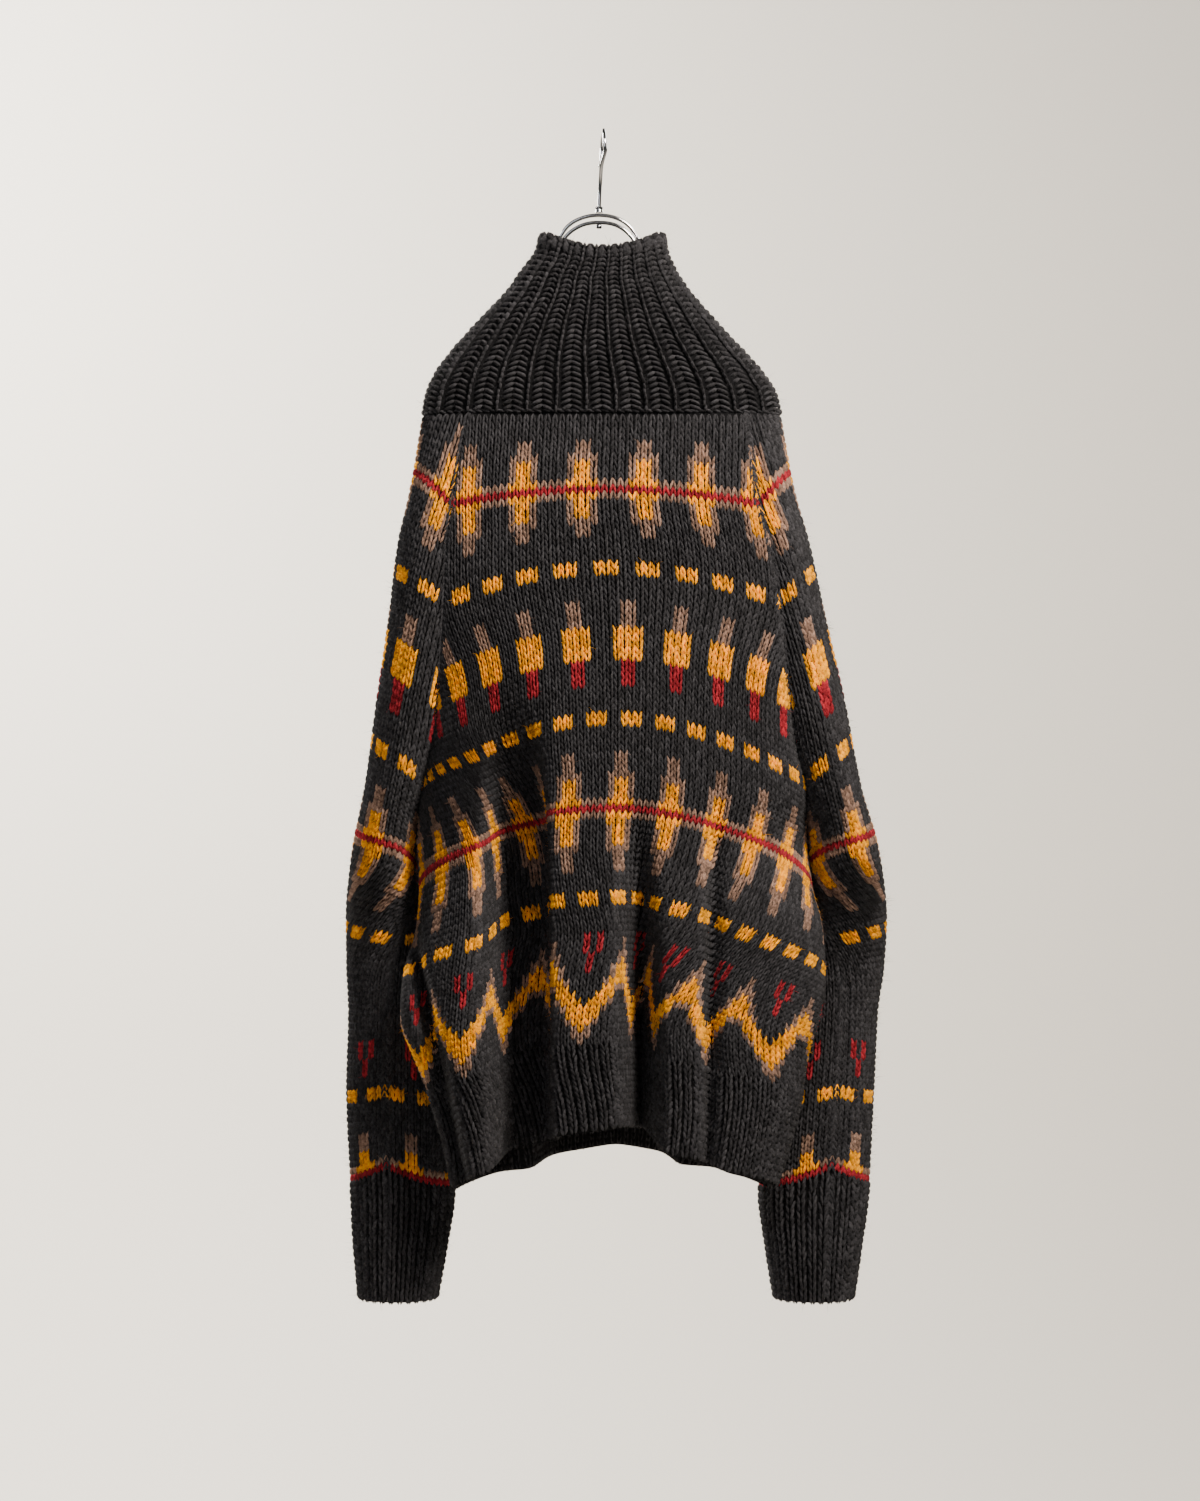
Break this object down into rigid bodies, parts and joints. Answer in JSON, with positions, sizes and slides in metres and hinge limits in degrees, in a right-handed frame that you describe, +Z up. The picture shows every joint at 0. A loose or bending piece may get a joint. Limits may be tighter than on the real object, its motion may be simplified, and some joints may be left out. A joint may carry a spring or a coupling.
{
  "type": "fair isle turtleneck sweater on a wire hanger",
  "caption": "Bulky raglan turtleneck sweater with banded colourwork, ribbed collar, hem and cuffs, hanging in folds from a chrome wire hanger with a hook.",
  "frame": {"origin": "where the hanger's hook bears, at the inside of its top", "axes": "+Z up; the pictured side of the sweater, taken as its back, faces -Y; +X to that view's right"},
  "size_m": [0.5244, 0.1945, 1.1298],
  "materials": {
    "charcoal_wool": "bulky charcoal wool knit, matte and fuzzy",
    "chrome_wire": "polished chrome-plated steel wire"
  },
  "bodies": {
    "root": {"back_panel": "charcoal_wool", "front_panel": "charcoal_wool", "hem_rib_back": "charcoal_wool", "hem_rib_front": "charcoal_wool", "sleeve_left": "charcoal_wool", "sleeve_right": "charcoal_wool", "cuff_left": "charcoal_wool", "cuff_right": "charcoal_wool", "collar": "charcoal_wool", "hanger_shoulders": "chrome_wire", "hanger_hook": "chrome_wire", "hanger_tip": "chrome_wire", "hanger_boss": "chrome_wire"}
  },
  "joints": []
}
